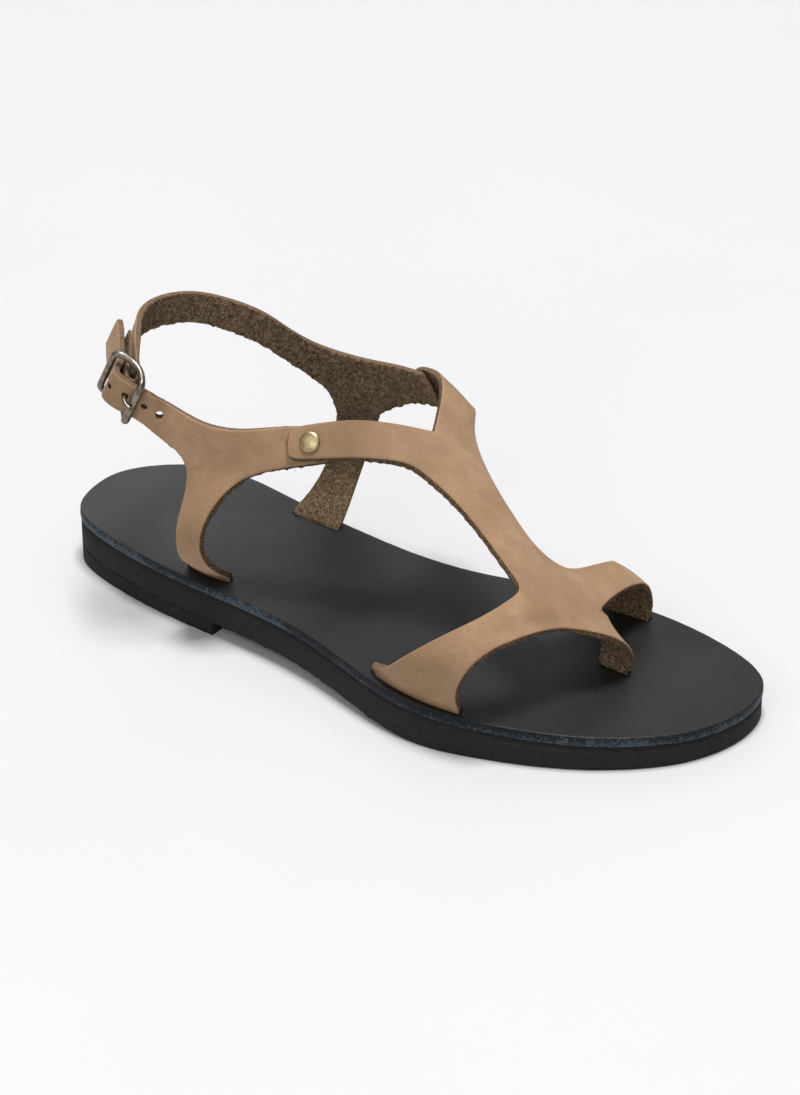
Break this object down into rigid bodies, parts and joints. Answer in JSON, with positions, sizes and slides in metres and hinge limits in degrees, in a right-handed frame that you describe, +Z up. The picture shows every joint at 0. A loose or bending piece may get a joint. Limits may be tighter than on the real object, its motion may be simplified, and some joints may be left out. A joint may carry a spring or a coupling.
{
  "type": "ankle strap sandal",
  "caption": "Flat leather sandal for the right foot: T-bar vamp with a toe loop, riveted quarters and a buckled strap round the heel, on a slotted insole and a low black sole.",
  "frame": {"origin": "middle of the footprint's box, on the floor under the sole", "axes": "+X from the heel to the toes, +Y from the outer to the inner side, +Z up"},
  "size_m": [0.246, 0.0954, 0.1008],
  "materials": {
    "nubuck": "soft tan nubuck outside, dark rough flesh side and cut edges",
    "insole leather": "smooth black, slightly glossy, burnished edge",
    "sole rubber": "matte black, finely speckled sides",
    "brass": "polished domes",
    "antique nickel": "darkened nickel, worn bright on the high spots"
  },
  "bodies": {
    "root": {"vamp": "nubuck", "outer_quarter": "nubuck", "inner_quarter": "nubuck", "insole": "insole leather", "outsole": "sole rubber", "heel_lift": "sole rubber", "outer_rivet": "brass", "inner_rivet": "brass", "fold_rivet": "antique nickel", "buckle_frame": "antique nickel", "buckle_prong": "antique nickel"}
  },
  "joints": []
}
